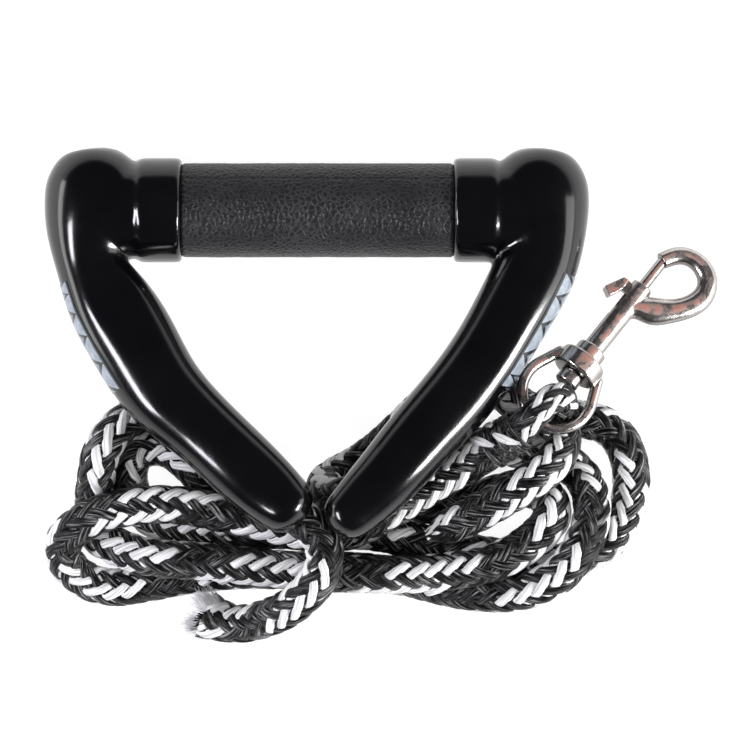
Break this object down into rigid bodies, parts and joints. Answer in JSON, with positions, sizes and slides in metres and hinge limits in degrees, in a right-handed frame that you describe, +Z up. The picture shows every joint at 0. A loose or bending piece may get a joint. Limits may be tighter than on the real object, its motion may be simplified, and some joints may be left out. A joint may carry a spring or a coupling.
{
  "type": "tow rope handle",
  "caption": "Padded bar handle with two moulded arms on a braided water sports tow rope, whose eye carries a swivel bolt snap.",
  "frame": {"origin": "on the surface the part lies on, under the middle of the handle's own outline (arms and grip, without the rope and the snap)", "axes": "+X along the grip, +Y from the rope pile towards the grip, +Z up from the surface"},
  "size_m": [0.2379, 0.1743, 0.0499],
  "materials": {
    "grip_sleeve": "pebbled, matt",
    "bar_tube": "plain",
    "left_bar_ferrule": "smooth",
    "right_bar_ferrule": "smooth",
    "left_arm": "polished black",
    "right_arm": "polished black",
    "left_side_label": "printed film",
    "right_side_label": "printed film",
    "bridle_rope": "braided",
    "tow_rope": "black and white hollow braid",
    "rope_eye": "black and white hollow braid",
    "rope_return_leg": "black and white hollow braid",
    "rope_tail": "black and white hollow braid, frayed end",
    "throat_whipping": "wound yarn",
    "swivel_eye": "polished plating",
    "snap_body": "polished plating",
    "bolt_plunger": "polished plating",
    "thumb_lever": "polished plating",
    "bolt_spring": "plain wire"
  },
  "bodies": {
    "handle": {"grip_sleeve": "grip_sleeve", "bar_tube": "bar_tube", "left_bar_ferrule": "left_bar_ferrule", "right_bar_ferrule": "right_bar_ferrule", "left_arm": "left_arm", "right_arm": "right_arm", "left_side_label": "left_side_label", "right_side_label": "right_side_label", "bridle_rope": "bridle_rope", "tow_rope": "tow_rope", "rope_eye": "rope_eye", "rope_return_leg": "rope_return_leg", "rope_tail": "rope_tail", "throat_whipping": "throat_whipping"},
    "swivel": {"swivel_eye": "swivel_eye"},
    "snap": {"snap_body": "snap_body", "bolt_spring": "bolt_spring"},
    "bolt": {"bolt_plunger": "bolt_plunger", "thumb_lever": "thumb_lever"}
  },
  "joints": [
    {"name": "eye_lift", "type": "hinge", "parent": "handle", "child": "swivel", "pos_m": [0.07615, -0.02671, 0.02732], "axis": [0.7738, -0.6334, 0], "range_deg": [0, 8]},
    {"name": "snap_swivel", "type": "hinge", "parent": "swivel", "child": "snap", "pos_m": [0.0895, -0.0104, 0.021], "axis": [0.6067, 0.7412, -0.2874], "continuous": true},
    {"name": "bolt_slide", "type": "slide", "parent": "snap", "child": "bolt", "axis": [0.6067, 0.7412, -0.2874], "range_m": [-0.009, 0], "stiffness_N_per_m": 150, "springref_m": 0.002, "deforming": ["bolt_spring"]}
  ]
}
